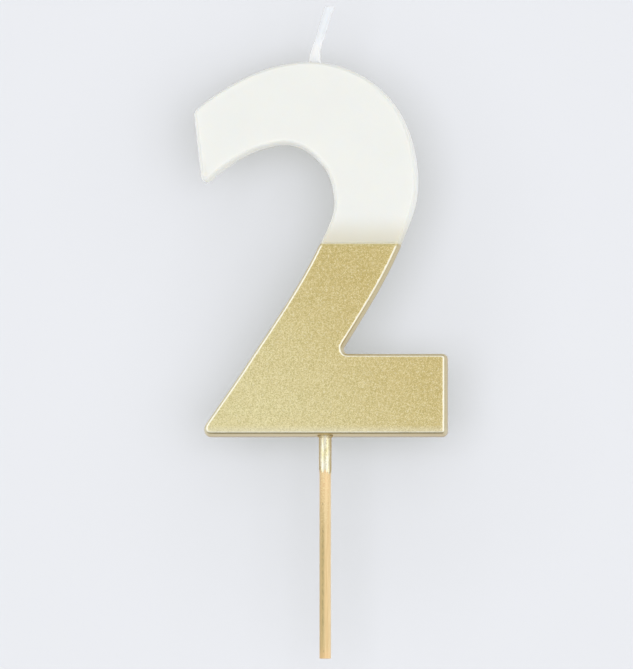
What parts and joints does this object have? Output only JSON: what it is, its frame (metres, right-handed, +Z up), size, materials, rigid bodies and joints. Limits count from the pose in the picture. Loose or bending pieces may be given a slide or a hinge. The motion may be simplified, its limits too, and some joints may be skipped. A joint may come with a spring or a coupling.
{
  "type": "number birthday candle",
  "caption": "Moulded wax numeral candle with a gold dipped lower half, a short leaning wick and a round bamboo pick below.",
  "frame": {"origin": "centre of the cut lower end of the pick, on the pick's axis", "axes": "+Z up along the pick towards the wick, -Y out of the numeral's face, +X to the right of a person reading it"},
  "size_m": [0.0542, 0.0122, 0.1395],
  "materials": {
    "wax": "smooth satin paraffin wax, slightly translucent",
    "gold_lacquer": "fine metal flake lacquer, satin",
    "bamboo": "bare split bamboo with straight fibres",
    "wick_priming": "thin wax over braided cotton",
    "cotton": "bleached cotton yarn"
  },
  "bodies": {
    "root": {"wax_body": "wax", "gold_coat": "gold_lacquer", "gold_collar": "gold_lacquer", "pick": "bamboo", "wick_wax": "wick_priming", "wick_strand_1": "cotton", "wick_strand_2": "cotton", "wick_strand_3": "cotton"}
  },
  "joints": []
}
